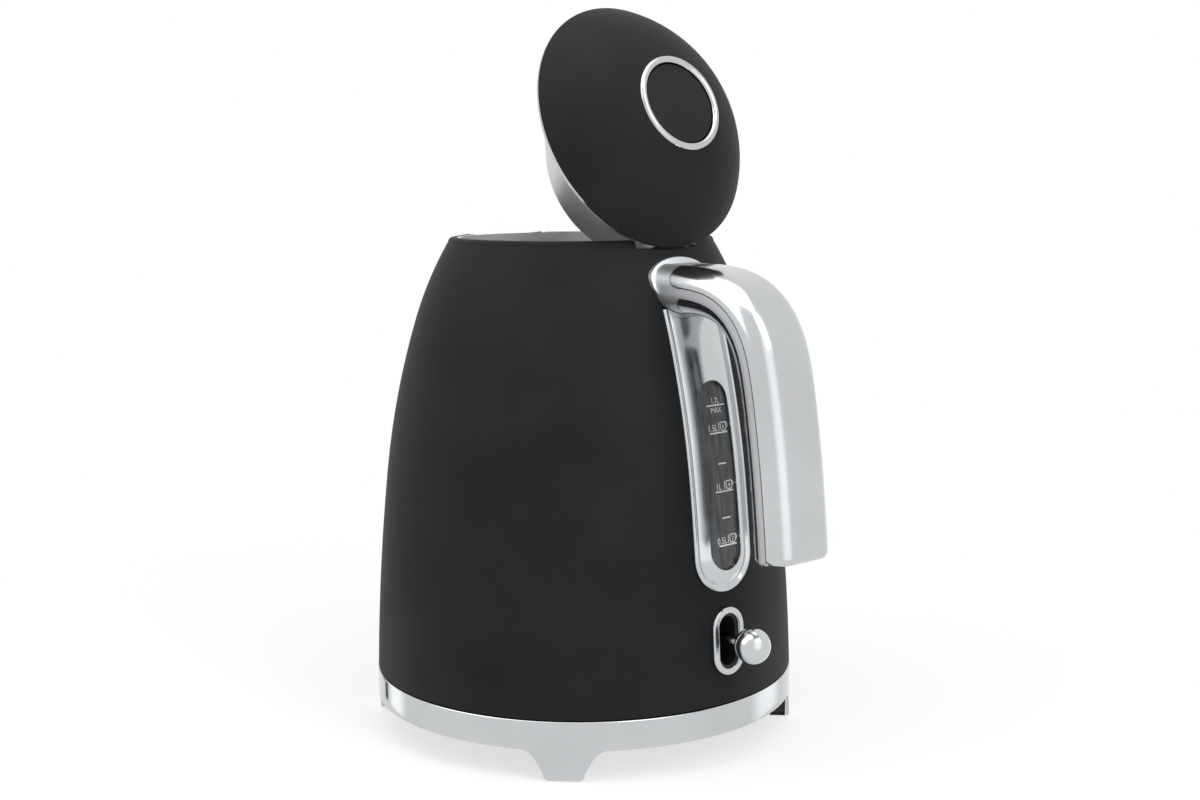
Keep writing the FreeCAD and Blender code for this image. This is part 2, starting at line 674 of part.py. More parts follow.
def filter_mesh():
    """Slotted steel sheet of the scale filter."""
    off = -BODY_WALL - SLIP - FILTER_T / 2
    low = FILTER_LOW + FILTER_BORDER + SLIP
    high = FILTER_TOP - FILTER_BORDER - SLIP
    half = FILTER_HALF - FILTER_BORDER - SLIP
    sheet = body_band(low, high, off - MESH_T, off).common(block(-FAR, 0, -half, half, 0, FAR))
    count = int((half - MESH_SLOT) / MESH_PITCH)
    for i in range(-count, count + 1):
        y = i * MESH_PITCH
        sheet = sheet.cut(block(-FAR, 0, y - MESH_SLOT / 2, y + MESH_SLOT / 2, low + MESH_PITCH, high - MESH_PITCH))
    return sheet


def heater_plate():
    """Steel floor of the vessel."""
    low = FLOOR_TOP - FLOOR_T
    r = body_point(FLOOR_TOP, -BODY_WALL)[0].x - SLIP
    return rod(r, 0, 0, low, FLOOR_TOP).cut(rod(TUBE_R + SLIP, TUBE_X, TUBE_Y, 0, FAR))


def heat_diffuser():
    """Aluminium disc under the floor."""
    high = FLOOR_TOP - FLOOR_T
    return rod(DIFFUSER_R, 0, 0, high - DIFFUSER_T, high).cut(rod(TUBE_R + FREE, TUBE_X, TUBE_Y, 0, FAR))


def heating_element():
    """Sheathed element that curls under the diffuser, open on one side."""
    z = FLOOR_TOP - FLOOR_T - DIFFUSER_T - ELEMENT_TUBE_R - RUNNING
    ring = Part.makeTorus(ELEMENT_R, ELEMENT_TUBE_R, V(0, 0, z), Z_AXIS)
    gap = block(0, FAR, -ELEMENT_GAP_HALF, ELEMENT_GAP_HALF, 0, FAR)
    return around(ring.cut(gap), ELEMENT_GAP_DEG)


def control_unit():
    """Thermostat and cut-out moulding under the floor."""
    high = FLOOR_TOP - FLOOR_T - DIFFUSER_T
    unit = rod(CONTROL_R, 0, 0, CONTROL_LOW, high)
    return unit.fuse(rod(CONTROL_STEP_R, 0, 0, CONTROL_STEP_LOW, CONTROL_STEP_TOP))


def bottom_cover():
    """Moulded cover under the kettle with posts up to the vessel floor."""
    r = body_point(COVER_LOW, -BODY_WALL)[0].x - COVER_R_GAP
    cover = rod(r, 0, 0, COVER_LOW, COVER_LOW + COVER_T)
    post = rod(POST_R, POST_RING, 0, COVER_LOW, FLOOR_TOP - FLOOR_T)
    for shape in pattern(post, POST_COUNT, POST_FIRST_DEG):
        cover = cover.fuse(shape)
    hole = rod(SCREW_R + RUNNING, POST_RING, 0, 0, COVER_LOW + 6 * COVER_T)
    hole = hole.fuse(rod(SCREW_HEAD_R + SLIP, POST_RING, 0, 0, COVER_LOW + SCREW_HEAD_T))
    for shape in pattern(hole, POST_COUNT, POST_FIRST_DEG):
        cover = cover.cut(shape)
    return cover.cut(rod(COVER_HOLE_R, 0, 0, 0, COVER_LOW + COVER_T))


def cover_screws():
    """Screws of the bottom cover."""
    one = screw(COVER_LOW, COVER_LOW + 5 * COVER_T, POST_RING)
    return pattern(one, POST_COUNT, POST_FIRST_DEG)


def steam_tube():
    """Pipe that leads steam down to the switch space."""
    pipe = rod(TUBE_R, TUBE_X, TUBE_Y, TUBE_LOW, TUBE_TOP)
    return pipe.cut(rod(TUBE_BORE_R, TUBE_X, TUBE_Y, TUBE_LOW, TUBE_TOP))


def gauge_section(at, out):
    """Half section edges of the gauge frame in the plane of out and +Y, from the middle to the lip."""
    def spot(y, n):
        return at + out * n + Y_AXIS * y
    edge = GAUGE_HALF - GAUGE_LIP_W
    valley = spot(GAUGE_VALLEY_HALF, GAUGE_VALLEY_N)
    crest = spot(0, GAUGE_CREST_N)
    rise = GAUGE_CREST_N - GAUGE_VALLEY_N
    mid = spot(GAUGE_VALLEY_HALF / 2, GAUGE_VALLEY_N + rise * 0.76)
    lip_in = spot(edge, GAUGE_LIP_N)
    lip_out = spot(GAUGE_HALF, GAUGE_LIP_N - GAUGE_LIP_W / 2)
    lip_mid = spot(GAUGE_HALF - GAUGE_LIP_W / 4, GAUGE_LIP_N - GAUGE_LIP_W / 8)
    foot = spot(GAUGE_HALF, GAUGE_ROOT_N)
    base = spot(0, GAUGE_ROOT_N)
    return [arc(crest, mid, valley), line(valley, lip_in), arc(lip_in, lip_mid, lip_out),
            line(lip_out, foot), line(foot, base)], crest, base


def gauge_frame():
    """Plated frame that follows the body and holds the level window."""
    at, lean = body_point(GAUGE_LOW_C)
    out = V(math.cos(lean), 0, math.sin(lean))
    half, crest, base = gauge_section(at, out)
    mirror = [e.mirror(V(0, 0, 0), Y_AXIS) for e in half]
    wire = Part.Wire(Part.__sortEdges__(half + mirror))
    spine = Part.Wire(body_edges(GAUGE_LOW_C, GAUGE_TOP + GAUGE_CREST_N))
    pipe = Part.BRepOffsetAPI.MakePipeShell(spine)
    pipe.setBiNormalMode(Y_AXIS)
    pipe.add(wire)
    pipe.build()
    pipe.makeSolid()
    end = face_of(half + [line(base, crest)]).revolve(at, out, -FULL_TURN / 2)
    frame = pipe.shape().fuse(end)
    frame = frame.cut(body_fill(BODY_Z, BODY_SHOULDER, SLIP))
    frame = frame.cut(block(0, FAR, -FAR, FAR, GAUGE_TOP, FAR)).cut(handle_sweep(-FAR, FAR, 2 * SLIP))
    return frame.cut(stadium(WINDOW_HALF, WINDOW_LOW, WINDOW_TOP, 0, FAR))


def gauge_window():
    """Clear window with an inner flange."""
    low = WINDOW_LOW + SLIP
    high = WINDOW_TOP - SLIP
    half = WINDOW_HALF - SLIP
    back = -BODY_WALL - GASKET_T - 2 * SLIP
    pane = body_band(low - 1, high + 1, back - WINDOW_FLANGE_T, WINDOW_PROUD)
    pane = pane.common(stadium(half, low, high, 0, FAR))
    ring = body_band(low - FAR / 10, high + FAR / 10, back - WINDOW_FLANGE_T, back)
    wide = stadium(half + WINDOW_FLANGE, low - WINDOW_FLANGE, high + WINDOW_FLANGE, 0, FAR)
    return pane.fuse(ring.common(wide))


def gauge_gasket():
    """Silicone gasket behind the shell around the window."""
    low = WINDOW_LOW
    high = WINDOW_TOP
    ring = body_band(low - FAR / 10, high + FAR / 10, -BODY_WALL - GASKET_T - SLIP, -BODY_WALL - SLIP)
    ring = ring.common(stadium(WINDOW_HALF + WINDOW_FLANGE, low - WINDOW_FLANGE, high + WINDOW_FLANGE, 0, FAR))
    return ring.cut(stadium(WINDOW_HALF + SLIP, low - SLIP, high + SLIP, 0, FAR))


def slot_prism(half_w, half_h, x_lo=0.0, x_hi=FAR):
    """Slot-shaped prism about the switch centre."""
    return stadium(half_w, SWITCH_Z - half_h, SWITCH_Z + half_h, x_lo, x_hi)


def switch_bezel():
    """Plated oval ring around the switch slot."""
    low = SWITCH_Z - BEZEL_HALF_H - 1
    high = SWITCH_Z + BEZEL_HALF_H + 1
    ring = body_band(low, high, SLIP, BEZEL_PROUD).common(slot_prism(BEZEL_HALF_W, BEZEL_HALF_H))
    ring = ring.cut(slot_prism(BEZEL_SLOT_HALF_W, BEZEL_SLOT_HALF_H))
    proud = [f for f in ring.Faces if abs(f.normalAt(0, 0).x) > 0 and f.Area > 0]
    front = max(proud, key=lambda f: f.CenterOfMass.x)
    return ring.makeFillet(BEZEL_PROUD / 3, front.Edges)


def switch_housing():
    """Dark slot lining with a back plate and two pivot ears."""
    half_w = BEZEL_SLOT_HALF_W - SLIP
    half_h = BEZEL_SLOT_HALF_H - SLIP
    low = SWITCH_Z - BEZEL_HALF_H
    high = SWITCH_Z + BEZEL_HALF_H
    body = body_fill(low, high, HOUSING_PROUD)
    lining = slot_prism(half_w, half_h, HOUSING_BACK_X).common(body)
    lining = lining.cut(slot_prism(half_w - HOUSING_WALL, half_h - HOUSING_WALL))
    back = slot_prism(HOUSING_BACK_HALF_W, HOUSING_BACK_HALF_H, HOUSING_BACK_X, HOUSING_BACK_X + HOUSING_BACK_T)
    back = back.cut(slot_prism(LEVER_SLOT_HALF_W, LEVER_SLOT_HALF_H))
    ear = cross_rod(EAR_SWITCH_R, PIVOT_X, PIVOT_Z, EAR_SWITCH_OUT)
    ear = ear.fuse(block(PIVOT_X, HOUSING_BACK_X + 1, -EAR_SWITCH_OUT, EAR_SWITCH_OUT,
                         PIVOT_Z - EAR_SWITCH_R, PIVOT_Z + EAR_SWITCH_R))
    ear = ear.cut(block(0, HOUSING_BACK_X, -EAR_SWITCH_IN, EAR_SWITCH_IN, 0, FAR))
    ear = ear.cut(slot_prism(LEVER_SLOT_HALF_W, LEVER_SLOT_HALF_H))
    return lining.fuse(back).fuse(ear).cut(cross_rod(PIVOT_R + RUNNING, PIVOT_X, PIVOT_Z, FAR))


def switch_pivot_pin():
    """Pivot pin of the switch lever."""
    return cross_rod(PIVOT_R, PIVOT_X, PIVOT_Z, EAR_SWITCH_OUT)


def switch_lever():
    """Lever from the pivot out through the slot."""
    hub = cross_rod(HUB_R, PIVOT_X, PIVOT_Z, HUB_HALF)
    reach = KNOB_X - KNOB_R + KNOB_SOCKET - PIVOT_X
    stem = Part.makeCylinder(LEVER_R, reach, V(PIVOT_X, 0, PIVOT_Z), X_AXIS)
    return hub.fuse(stem).cut(cross_rod(PIVOT_R + RUNNING, PIVOT_X, PIVOT_Z, FAR))


def switch_knob():
    """Ball knob on the lever."""
    ball = Part.makeSphere(KNOB_R, V(KNOB_X, 0, PIVOT_Z))
    hole = Part.makeCylinder(LEVER_R + RUNNING, KNOB_R + KNOB_SOCKET, V(KNOB_X - 2 * KNOB_R, 0, PIVOT_Z), X_AXIS)
    return ball.cut(hole)


def handle_spine():
    """Smooth centre line of the handle in the middle plane."""
    curve = Part.BSplineCurve()
    curve.interpolate([V(x, 0, z) for x, z in HANDLE_LINE])
    return curve


def handle_sweep(n_lo, n_hi, grow=0.0):
    """Sweep of the rounded handle section, cut between two levels across its depth."""
    curve = handle_spine()
    at = curve.value(curve.FirstParameter)
    ahead = curve.tangent(curve.FirstParameter)[0]
    out = ahead.cross(Y_AXIS)
    half_w = HANDLE_HALF_W + grow
    half_d = HANDLE_HALF_D + grow
    side = half_w - HANDLE_ROUND
    rise = half_d - HANDLE_ROUND
    slant = HANDLE_ROUND * math.sqrt(0.5)

    def spot(y, n):
        return at + Y_AXIS * y + out * n
    edges = []
    for i in (-1, 1):
        for k in (-1, 1):
            edges.append(arc(spot(i * side, k * half_d), spot(i * (side + slant), k * (rise + slant)),
                             spot(i * half_w, k * rise)))
        edges.append(line(spot(i * half_w, -rise), spot(i * half_w, rise)))
        edges.append(line(spot(-side, i * half_d), spot(side, i * half_d)))
    band = [spot(-FAR, n_lo), spot(FAR, n_lo), spot(FAR, n_hi), spot(-FAR, n_hi)]
    cut = face_of(edges).common(face_of(poly_edges(band + band[:1])))
    pipe = Part.BRepOffsetAPI.MakePipeShell(Part.Wire(curve.toShape()))
    pipe.setBiNormalMode(Y_AXIS)
    pipe.add(cut.Faces[0].OuterWire)
    pipe.build()
    pipe.makeSolid()
    return pipe.shape()


def start_zone(x0, z_round, r, upward):
    """Space past the start of a handle cover, with one rounded corner."""
    zone = block(x0 + r, FAR, -FAR, FAR, -FAR, FAR)
    zone = zone.fuse(cross_rod(r, x0 + r, z_round, FAR))
    if upward:
        return zone.fuse(block(x0, x0 + r, -FAR, FAR, z_round, FAR))
    return zone.fuse(block(x0, x0 + r, -FAR, FAR, -FAR, z_round))


def rounded_end(shape, r, seam):
    """Round the free end of a handle piece, except along the straight seam between two layers."""
    curve = handle_spine()
    at = curve.value(curve.LastParameter)
    ahead = curve.tangent(curve.LastParameter)[0]
    out = ahead.cross(Y_AXIS)
    ends = []
    for edge in shape.Edges:
        spots = [edge.valueAt(edge.FirstParameter + (edge.LastParameter - edge.FirstParameter) * k / 4)
                 for k in range(5)]
        on_end = all(abs((p - at).dot(ahead)) < SLIP for p in spots)
        if on_end and not all(abs((p - at).dot(out) - seam) < SLIP for p in spots):
            ends.append(edge)
    return shape.makeFillet(r, ends)


def handle_outer_cover():
    """Polished cover along the outside of the handle."""
    seam = STRIP_OUT + GROOVE
    band = handle_sweep(seam, FAR).common(start_zone(OUTER_START_X, OUTER_ROUND_Z, OUTER_ROUND, True))
    return rounded_end(band, END_ROUND, seam)


def handle_inner_cover():
    """Polished cover along the inside of the handle."""
    seam = STRIP_IN - GROOVE
    band = handle_sweep(-FAR, seam).common(start_zone(INNER_START_X, INNER_ROUND_Z, INNER_ROUND, False))
    return rounded_end(band, END_ROUND, seam)


def root_axis_rod(r, side, start, end):
    """Rod along the axis of one root screw, measured from the body surface."""
    at, lean = body_point(ROOT_SCREW_Z)
    out = V(math.cos(lean), 0, math.sin(lean))
    return around(Part.makeCylinder(r, end - start, at + out * start, out), side * ROOT_SCREW_DEG)


def handle_frame():
    """Satin root collar and side strip of the handle."""
    frame = handle_sweep(-FAR, FAR)
    outer = handle_sweep(STRIP_OUT, FAR, SLIP)
    outer = outer.common(start_zone(OUTER_START_X - GROOVE, OUTER_ROUND_Z, OUTER_ROUND + GROOVE, True))
    inner = handle_sweep(-FAR, STRIP_IN, SLIP)
    inner = inner.common(start_zone(INNER_START_X - GROOVE, INNER_ROUND_Z, INNER_ROUND + GROOVE, False))
    frame = rounded_end(frame.cut(outer).cut(inner), STRIP_END_ROUND, FAR)
    pad = stadium(ROOT_ROUND, ROOT_LOW, ROOT_TOP, 0, FAR)
    wide = FreeCAD.Matrix()
    wide.scale(1, ROOT_HALF_W / ROOT_ROUND, 1)
    pad = pad.transformGeometry(wide)
    frame = frame.fuse(body_band(ROOT_LOW - 1, ROOT_TOP + 1, SLIP, ROOT_PROUND).common(pad))
    frame = frame.cut(body_fill(BODY_Z, BODY_SHOULDER, SLIP))
    for side in (-1, 1):
        frame = frame.cut(root_axis_rod(SCREW_R + RUNNING, side, -1, ROOT_SCREW_LEN))
    return frame


def handle_screws():
    """Screws from inside the body into the handle root."""
    screws = []
    for side in (-1, 1):
        back = -BODY_WALL - FREE / 2
        head = root_axis_rod(ROOT_SCREW_HEAD_R, side, back - ROOT_SCREW_HEAD_T, back)
        screws.append(head.fuse(root_axis_rod(SCREW_R, side, back, ROOT_SCREW_LEN - FREE)))
    return screws


def sphere_arc(r_sphere, r_a, r_b):
    """Arc of the lid dome profile between two distances from the axis."""
    z_c = RIM_Z - math.sqrt(DOME_R ** 2 - RIM_R ** 2)
    spots = [V(r, 0, z_c + math.sqrt(r_sphere ** 2 - r ** 2)) for r in (r_a, (r_a + r_b) / 2, r_b)]
    return arc(*spots), spots[0], spots[2]


def lid_dome():
    """Coated dome of the lid."""
    z_c = RIM_Z - math.sqrt(DOME_R ** 2 - RIM_R ** 2)
    inner_r = DOME_R - DOME_WALL
    inner_rim = math.sqrt(inner_r ** 2 - (RIM_Z - z_c) ** 2)
    outer, a, b = sphere_arc(DOME_R, RIM_R, BUTTON_HOLE_R)
    inner, c, d = sphere_arc(inner_r, inner_rim, BUTTON_HOLE_R)
    return spin([outer, inner, line(a, c), line(b, d)])


def lid_rim_ring():
    """Plated ring under the dome."""
    ring = tube(RIM_BORE_R, RIM_R, RIM_Z - RIM_T, RIM_Z)
    low = [e for e in ring.Edges if abs(e.BoundBox.ZMax - (RIM_Z - RIM_T)) < SLIP and e.BoundBox.ZLength < SLIP]
    return ring.makeFillet(RIM_ROUND, [e for e in low if e.BoundBox.XLength > 2 * RIM_R - SLIP])


def liner_cone(grow, floor_z):
    """Slanted cone of the liner, grown or shrunk, down to a floor height."""
    levels = ((0, LINER_R, RIM_Z - RIM_T), (LINER_LOW_X, LINER_LOW_R, LINER_LOW_Z),
              (LINER_LOW_X, LINER_FLOOR_R, floor_z))
    rings = [Part.Wire(Part.makeCircle(r + grow, V(x, 0, z))) for x, r, z in levels]
    return Part.makeLoft(rings, True, True)


def lid_liner():
    """Steel cone that plugs the mouth, deeper towards the hinge."""
    return liner_cone(0, LINER_FLOOR_Z).cut(liner_cone(-LINER_WALL, LINER_FLOOR_Z + LINER_WALL))


def lid_seal():
    """Silicone seal around the top of the liner."""
    top = RIM_Z - RIM_T
    ring = tube(LINER_R + SLIP, LINER_R + SLIP + SEAL_W, top - SEAL_H, top)
    return ring.cut(block(0, FAR, -SEAL_GAP_HALF, SEAL_GAP_HALF, 0, FAR))


def lid_hinge_arm():
    """Arm from the lid ring to the hinge knuckle."""
    arm = block(ARM_IN, ARM_OUT, -KNUCKLE_HALF, KNUCKLE_HALF, ARM_LOW, RIM_Z - RIM_T)
    arm = arm.fuse(cross_rod(KNUCKLE_R, HINGE_X, HINGE_Z, KNUCKLE_HALF))
    arm = arm.cut(liner_cone(SLIP, LINER_FLOOR_Z - SLIP))
    return arm.cut(cross_rod(HINGE_PIN_R + RUNNING, HINGE_X, HINGE_Z, FAR))


def lid_button_ring():
    """Plated ring around the button."""
    mid = (BUTTON_RING_R + BUTTON_RING_BORE) / 2
    low_in = V(BUTTON_RING_BORE, 0, BUTTON_RING_LOW)
    top_in = V(BUTTON_RING_BORE, 0, BUTTON_RING_TOP)
    top_out = V(BUTTON_RING_R, 0, BUTTON_RING_TOP)
    low_out = V(BUTTON_RING_R, 0, BUTTON_RING_LOW)
    crown = arc(top_in, V(mid, 0, BUTTON_RING_CROWN), top_out)
    return spin([crown] + poly_edges([top_out, low_out, low_in, top_in]))


def lid_button():
    """Push button with its stem."""
    edge = V(BUTTON_R, 0, BUTTON_EDGE_Z)
    crown = V(0, 0, BUTTON_CROWN_Z)
    rise = BUTTON_CROWN_Z - BUTTON_EDGE_Z
    ball = (BUTTON_R ** 2 + rise ** 2) / (2 * rise)
    drop = ball - math.sqrt(ball ** 2 - (BUTTON_R / 2) ** 2)
    top = arc(edge, V(BUTTON_R / 2, 0, BUTTON_CROWN_Z - drop), crown)
    rest = poly_edges([crown, V(0, 0, STEM_LOW_Z), V(STEM_R, 0, STEM_LOW_Z), V(STEM_R, 0, BUTTON_LOW_Z),
                       V(BUTTON_R, 0, BUTTON_LOW_Z), edge])
    return spin([top] + rest)


def button_guide():
    """Sleeve that guides the button stem."""
    low = LINER_FLOOR_Z + LINER_WALL
    sleeve = tube(GUIDE_BORE_R, GUIDE_R, low, GUIDE_TOP)
    return sleeve.fuse(tube(GUIDE_BORE_R, GUIDE_FOOT_R, low, low + GUIDE_FOOT_T))


def button_spring():
    """Return spring on top of the guide."""
    low = GUIDE_TOP + SPRING_WIRE_R
    helix = Part.makeLongHelix(SPRING_PITCH, SPRING_HEIGHT, SPRING_MEAN_R)
    circle = Part.Wire(Part.makeCircle(SPRING_WIRE_R, V(SPRING_MEAN_R, 0, 0), Y_AXIS))
    coil = Part.Wire(helix).makePipeShell([circle], True, True)
    coil.translate(V(0, 0, low))
    return coil


def opened(shape):
    """Swing a lid shape from shut to its open rest position."""
    copy = shape.copy()
    copy.rotate(V(HINGE_X, 0, HINGE_Z), Y_AXIS, LID_OPEN_DEG)
    return copy


BASE_NODES = (base_ring, base_tray, foot_blocks, foot_pads, base_bottom_plate, base_screws, cord_gland,
              connector_plug, contact_ring, contact_sleeve)
SOCKET_NODES = (connector_socket, connector_pin)
KETTLE_NODES = (body_shell, collar, hinge_bracket, hinge_pin, spout, filter_frame, filter_mesh, heater_plate,
                heat_diffuser, heating_element, control_unit, bottom_cover, cover_screws, steam_tube,
                gauge_frame, gauge_window, gauge_gasket, switch_bezel, switch_housing, switch_pivot_pin,
                handle_frame, handle_outer_cover, handle_inner_cover, handle_screws)
SWITCH_NODES = (switch_lever, switch_knob)
LID_NODES = (lid_dome, lid_rim_ring, lid_liner, lid_seal, lid_hinge_arm, lid_button_ring, button_guide,
             button_spring, lid_button)


def main():
    os.makedirs("parts", exist_ok=True)
    for make in BASE_NODES + SOCKET_NODES + KETTLE_NODES + SWITCH_NODES:
        save(make.__name__, make())
    for make in LID_NODES:
        save(make.__name__, opened(make().removeSplitter()))


main()
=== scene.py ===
"""Looks of a cordless electric kettle on its power base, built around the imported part."""
import logging
import math
from dataclasses import dataclass, field, replace
from enum import Enum
from typing import Any

import bmesh
import bpy
from mathutils import Matrix, Vector
from mathutils.bvhtree import BVHTree


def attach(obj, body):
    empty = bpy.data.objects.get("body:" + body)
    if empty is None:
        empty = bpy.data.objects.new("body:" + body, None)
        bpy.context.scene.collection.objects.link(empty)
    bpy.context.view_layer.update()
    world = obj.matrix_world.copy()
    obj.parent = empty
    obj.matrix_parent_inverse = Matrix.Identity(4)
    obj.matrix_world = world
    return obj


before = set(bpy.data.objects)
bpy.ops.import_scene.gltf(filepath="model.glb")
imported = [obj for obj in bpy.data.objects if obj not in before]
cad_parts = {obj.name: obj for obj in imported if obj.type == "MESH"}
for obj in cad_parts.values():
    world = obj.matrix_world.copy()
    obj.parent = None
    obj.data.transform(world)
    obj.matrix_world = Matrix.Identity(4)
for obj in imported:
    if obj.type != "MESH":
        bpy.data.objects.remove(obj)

LOG = logging.getLogger("kettle")
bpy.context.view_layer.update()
MM = 0.001
WHITE = "FFFFFF"

# Width of the faint unevenness that handling and plating leave on a surface
CLOUD_MM = 34.0
CLOUD_DETAIL = 3.0
GRAIN_DETAIL = 4.0
GRAIN_ROUGHNESS = 0.6
BUMP_STRENGTH = 0.5
# Middle stretch of a noise over which the roughness changes, and the one for the two colours
GLOSS_SPAN = (0.3, 0.7)
COLOUR_SPAN = (0.35, 0.65)
# Cosine of a face's turn from outwards: bare below the first, coated above the second
BARE_SPAN = (-0.3, -0.2)


class Surface(Enum):
    """How a surface was made, which sets the pattern that the eye sees on it."""

    COATED = "coated"
    POLISHED = "polished"
    SATIN = "satin"
    MOULDED = "moulded"
    CLEAR = "clear"
    PRINTED = "printed"


def linear(hex_colour: str) -> tuple[float, float, float, float]:
    """Turn an sRGB hex colour into linear light.

    Args:
        hex_colour: six hex digits.

    Returns:
        Red, green, blue and an alpha of one.
    """
    parts = [int(hex_colour[i:i + 2], 16) / 255 for i in (0, 2, 4)]
    light = [c / 12.92 if c <= 0.04045 else ((c + 0.055) / 1.055) ** 2.4 for c in parts]
    return (light[0], light[1], light[2], 1.0)


def add_node(tree: bpy.types.NodeTree, kind: str, settings: dict[str, Any] | None = None,
             values: dict[str | int, Any] | None = None,
             links: dict[str | int, Any] | None = None) -> bpy.types.Node:
    """Add one node with its settings, socket values and incoming links.

    Args:
        tree: the node tree that gets the node.
        kind: Blender's name for the node type.
        settings: properties of the node.
        values: default values by the name or number of the input.
        links: output sockets by the name or number of the input that they feed.

    Returns:
        The new node.
    """
    node = tree.nodes.new(kind)
    for name, value in (settings or {}).items():
        setattr(node, name, value)
    for name, value in (values or {}).items():
        node.inputs[name].default_value = value
    for name, socket in (links or {}).items():
        tree.links.new(socket, node.inputs[name])
    return node


@dataclass(frozen=True)
class Finish:
    """One real material and the way its surface was made.

    Its colour varies from colour to shade, and its roughness by spread to either side. Its grain stands
    relief_mm high and is squeezed along each axis by stretch. Where it has an inside, that finish shows
    on the faces towards the axis.
    """

    name: str
    surface: Surface
    colour: str
    shade: str
    roughness: float
    spread: float
    grain_mm: float = 0.0
    relief_mm: float = 0.0
    metallic: float = 0.0
    ior: float = 1.5
    transmission: float = 0.0
    specular: float = 0.5
    stretch: tuple[float, float, float] = (1.0, 1.0, 1.0)
    inside: "Finish | None" = None

    def material(self) -> bpy.types.Material:
        """Give the Blender material, made on first use.

        Returns:
            The material of this finish.
        """
        found = bpy.data.materials.get(self.name)
        return found or self._make()

    def _make(self) -> bpy.types.Material:
        """Build the node tree of this finish.

        Returns:
            The new material.
        """
        made = bpy.data.materials.new(self.name)
        made.use_nodes = True
        tree = made.node_tree
        shader = tree.nodes["Principled BSDF"]
        shader.inputs["Metallic"].default_value = self.metallic
        shader.inputs["Specular IOR Level"].default_value = self.specular
        shader.inputs["Transmission Weight"].default_value = self.transmission
        if not self.metallic:
            shader.inputs["IOR"].default_value = self.ior
        place = add_node(tree, "ShaderNodeTexCoord")
        cloud = add_node(tree, "ShaderNodeTexNoise",
                         values={"Scale": 1 / (CLOUD_MM * MM), "Detail": CLOUD_DETAIL},
                         links={"Vector": place.outputs["Object"]})
        grain = self._grain(tree, place) if self.grain_mm else cloud
        # A plastic is coloured all through, so its colour follows its grain
        plastic = self.surface in (Surface.MOULDED, Surface.CLEAR)
        self._colour(tree, shader, grain if plastic else cloud)
        gloss = self._gloss(tree, shader, grain)
        if self.inside:
            self._bare(tree, shader, gloss)
        if self.relief_mm:
            bump = add_node(tree, "ShaderNodeBump",
                            values={"Strength": BUMP_STRENGTH, "Distance": self.relief_mm * MM},
                            links={"Height": grain.outputs["Fac"]})
            tree.links.new(bump.outputs["Normal"], shader.inputs["Normal"])
        return made

    def _grain(self, tree: bpy.types.NodeTree, place: bpy.types.Node) -> bpy.types.Node:
        """Add the fine pattern of the surface, at its real size.

        Args:
            tree: the material's node tree.
            place: the node that gives places on the object.

        Returns:
            The noise of the grain.
        """
        scaled = add_node(tree, "ShaderNodeMapping", values={"Scale": self.stretch},
                          links={"Vector": place.outputs["Object"]})
        return add_node(tree, "ShaderNodeTexNoise",
                        values={"Scale": 1 / (self.grain_mm * MM), "Detail": GRAIN_DETAIL,
                                "Roughness": GRAIN_ROUGHNESS},
                        links={"Vector": scaled.outputs["Vector"]})

    def _colour(self, tree: bpy.types.NodeTree, shader: bpy.types.Node, pattern: bpy.types.Node) -> None:
        """Feed the base colour, varied between the two colours of the finish.

        Args:
            tree: the material's node tree.
            shader: its surface shader.
            pattern: the noise that picks between the two colours.
        """
        ramp = add_node(tree, "ShaderNodeValToRGB", links={"Fac": pattern.outputs["Fac"]})
        for stop, position, colour in zip(ramp.color_ramp.elements, COLOUR_SPAN, (self.shade, self.colour)):
            stop.position = position
            stop.color = linear(colour)
        tree.links.new(ramp.outputs["Color"], shader.inputs["Base Color"])

    def _gloss(self, tree: bpy.types.NodeTree, shader: bpy.types.Node,
               pattern: bpy.types.Node) -> bpy.types.Node:
        """Feed the roughness, varied to either side of the finish's own.

        Args:
            tree: the material's node tree.
            shader: its surface shader.
            pattern: the noise that the roughness follows.

        Returns:
            The node that gives the roughness.
        """
        gloss = add_node(tree, "ShaderNodeMapRange",
                         values={"From Min": GLOSS_SPAN[0], "From Max": GLOSS_SPAN[1],
                                 "To Min": max(0.0, self.roughness - self.spread),
                                 "To Max": self.roughness + self.spread},
                         links={"Value": pattern.outputs["Fac"]})
        tree.links.new(gloss.outputs["Result"], shader.inputs["Roughness"])
        return gloss

    def _bare(self, tree: bpy.types.NodeTree, shader: bpy.types.Node, gloss: bpy.types.Node) -> None:
        """Leave the side that faces the axis bare, because the coat is only sprayed outside.

        Args:
            tree: the material's node tree.
            shader: its surface shader.
            gloss: the node that gives the coat's roughness.
        """
        place = add_node(tree, "ShaderNodeTexCoord")
        level = add_node(tree, "ShaderNodeVectorMath", {"operation": "MULTIPLY"},
                         values={1: (1.0, 1.0, 0.0)}, links={0: place.outputs["Object"]})
        outward = add_node(tree, "ShaderNodeVectorMath", {"operation": "NORMALIZE"},
                           links={0: level.outputs["Vector"]})
        facing = add_node(tree, "ShaderNodeVectorMath", {"operation": "DOT_PRODUCT"},
                          links={0: outward.outputs["Vector"], 1: place.outputs["Normal"]})
        bare = add_node(tree, "ShaderNodeMapRange",
                        values={"From Min": BARE_SPAN[0], "From Max": BARE_SPAN[1],
                                "To Min": 1.0, "To Max": 0.0},
                        links={"Value": facing.outputs["Value"]})
        coat = shader.inputs["Base Color"].links[0].from_socket
        colour = add_node(tree, "ShaderNodeMixRGB", values={"Color2": linear(self.inside.colour)},
                          links={"Fac": bare.outputs["Result"], "Color1": coat})
        rough = add_node(tree, "ShaderNodeMath", {"operation": "MULTIPLY_ADD"},
                         values={1: self.inside.roughness - self.roughness},
                         links={0: bare.outputs["Result"], 2: gloss.outputs["Result"]})
        tree.links.new(colour.outputs["Color"], shader.inputs["Base Color"])
        tree.links.new(rough.outputs["Value"], shader.inputs["Roughness"])
        tree.links.new(bare.outputs["Result"], shader.inputs["Metallic"])


